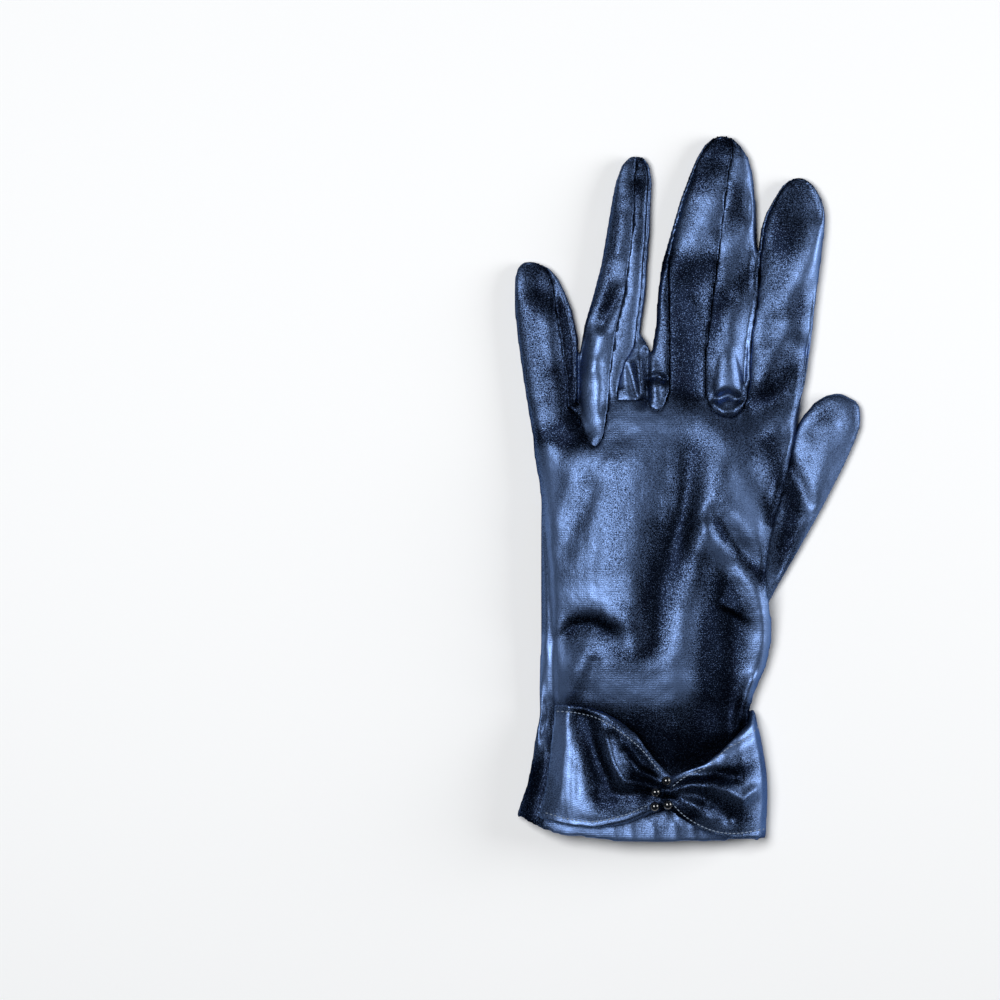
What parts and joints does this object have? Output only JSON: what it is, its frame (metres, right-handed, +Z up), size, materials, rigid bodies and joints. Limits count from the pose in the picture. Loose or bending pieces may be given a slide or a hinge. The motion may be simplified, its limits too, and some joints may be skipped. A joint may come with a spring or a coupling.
{
  "type": "wrist length dress glove",
  "caption": "Wrist length dress glove for a left hand in black satin with a steel blue sheen, laid back up, with fourchettes, a set-in thumb and a gathered bow band held by glass beads.",
  "frame": {"origin": "middle of the glove's bounding box, on the surface it lies on", "axes": "+Y from the wrist to the fingertips, +X to the thumb side, +Z up out of the back of the hand"},
  "size_m": [0.1172, 0.24, 0.0213],
  "materials": {
    "satin": "satin, black with a steel blue sheen",
    "bead_glass": "polished opaque black"
  },
  "bodies": {
    "root": {"trank": "satin", "fourchette_little_ring": "satin", "fourchette_ring_middle": "satin", "fourchette_middle_index": "satin", "thumb": "satin", "bow_band": "satin", "bead_top": "bead_glass", "bead_middle": "bead_glass", "bead_left": "bead_glass", "bead_right": "bead_glass"}
  },
  "joints": []
}
